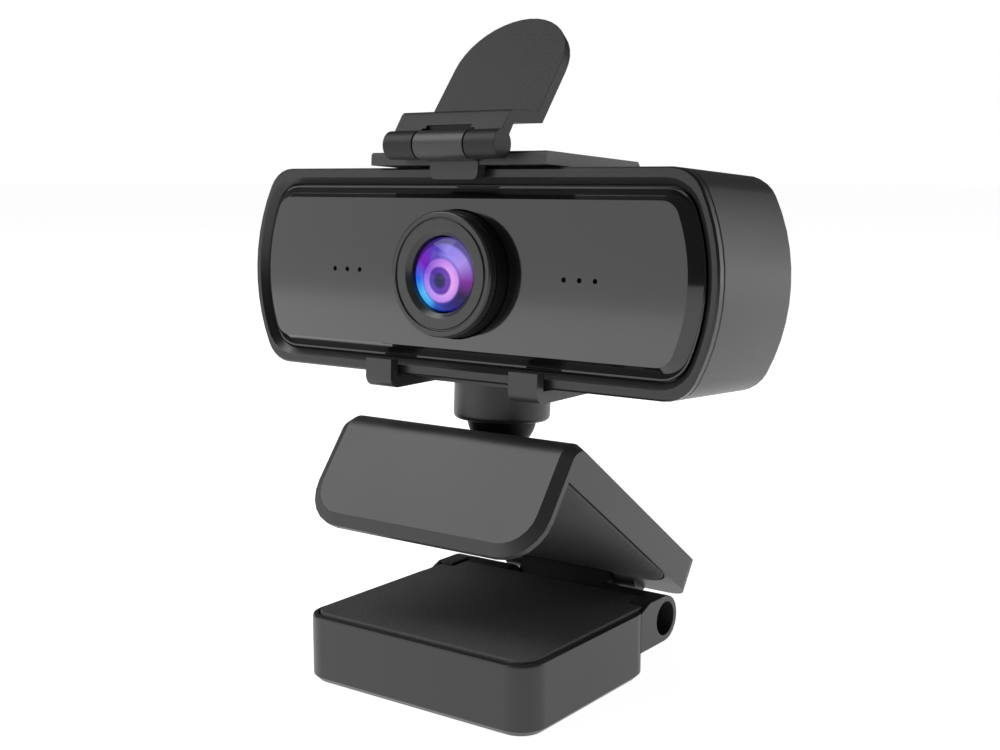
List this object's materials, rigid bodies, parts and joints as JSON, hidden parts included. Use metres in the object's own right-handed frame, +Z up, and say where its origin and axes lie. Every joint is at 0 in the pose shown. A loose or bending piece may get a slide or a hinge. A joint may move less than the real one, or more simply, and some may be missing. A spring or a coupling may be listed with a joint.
{
  "type": "webcam on folding clip foot",
  "caption": "Wide webcam head with round lens and flip-up lens cover, on a ball joint above a bent clip arm that folds on a padded rectangular foot.",
  "frame": {"origin": "middle of the foot's underside", "axes": "+Z up, the lens looks along -Y, +X to the right of someone who faces the lens from behind the camera"},
  "size_m": [0.0992, 0.0567, 0.1184],
  "materials": {
    "housing": "fine satin grain",
    "dark_plastic": "satin",
    "front_gloss": "high gloss",
    "pad_rubber": "fine grain",
    "steel": "turned",
    "brass": "turned",
    "lens_glass": "coated, clear",
    "circuit": "lacquered board",
    "chip": "moulded",
    "silicon": "polished"
  },
  "bodies": {
    "base": {"base_shell": "housing", "base_cover": "dark_plastic", "base_pad": "pad_rubber", "tripod_insert": "brass", "base_screw_1": "steel", "base_screw_2": "steel", "base_screw_3": "steel", "base_screw_4": "steel", "foot_pin": "steel"},
    "link": {"link": "dark_plastic"},
    "arm": {"arm_shell": "housing", "arm_pad": "pad_rubber", "arm_pin": "steel", "ball_stud": "dark_plastic", "ball_screw": "steel"},
    "pan": {"ball_seat_lower": "dark_plastic"},
    "roll": {"ball_seat_upper": "dark_plastic"},
    "head": {"head_bracket": "housing", "rear_shell": "housing", "front_bezel": "housing", "front_plate": "front_gloss", "lens_ring": "front_gloss", "lens_barrel": "dark_plastic", "lens_glass": "lens_glass", "lens_retainer": "dark_plastic", "inner_lens": "lens_glass", "lens_holder": "dark_plastic", "ir_filter": "lens_glass", "image_sensor": "silicon", "main_board": "circuit", "video_chip": "chip", "cable_header": "dark_plastic", "microphone_left": "steel", "microphone_right": "steel", "mic_gasket_left": "pad_rubber", "mic_gasket_right": "pad_rubber", "board_screw_1": "steel", "board_screw_2": "steel", "shell_screw_1": "steel", "shell_screw_2": "steel", "shell_screw_3": "steel", "shell_screw_4": "steel", "cable_gland": "pad_rubber", "shutter_clip": "housing", "shutter_pin": "steel"},
    "flap": {"shutter_flap": "housing"}
  },
  "joints": [
    {"name": "foot_hinge", "type": "hinge", "parent": "base", "child": "link", "pos_m": [0, 0.02555, 0.0088], "axis": [1, 0, 0], "range_deg": [-60, 4]},
    {"name": "arm_hinge", "type": "hinge", "parent": "link", "child": "arm", "pos_m": [0, 0.03265, 0.01332], "axis": [1, 0, 0], "range_deg": [-100, 12]},
    {"name": "head_pan", "type": "hinge", "parent": "arm", "child": "pan", "pos_m": [0, 0.00765, 0.0471], "axis": [0, 0, 1], "continuous": true},
    {"name": "head_roll", "type": "hinge", "parent": "pan", "child": "roll", "pos_m": [0, 0.00765, 0.0471], "axis": [0, 1, 0], "range_deg": [-4, 4]},
    {"name": "head_tilt", "type": "hinge", "parent": "roll", "child": "head", "pos_m": [0, 0.00765, 0.0471], "axis": [1, 0, 0], "range_deg": [-12, 12]},
    {"name": "cover_hinge", "type": "hinge", "parent": "head", "child": "flap", "pos_m": [0, -0.00852, 0.0955], "axis": [1, 0, 0], "range_deg": [-22, 215]}
  ]
}
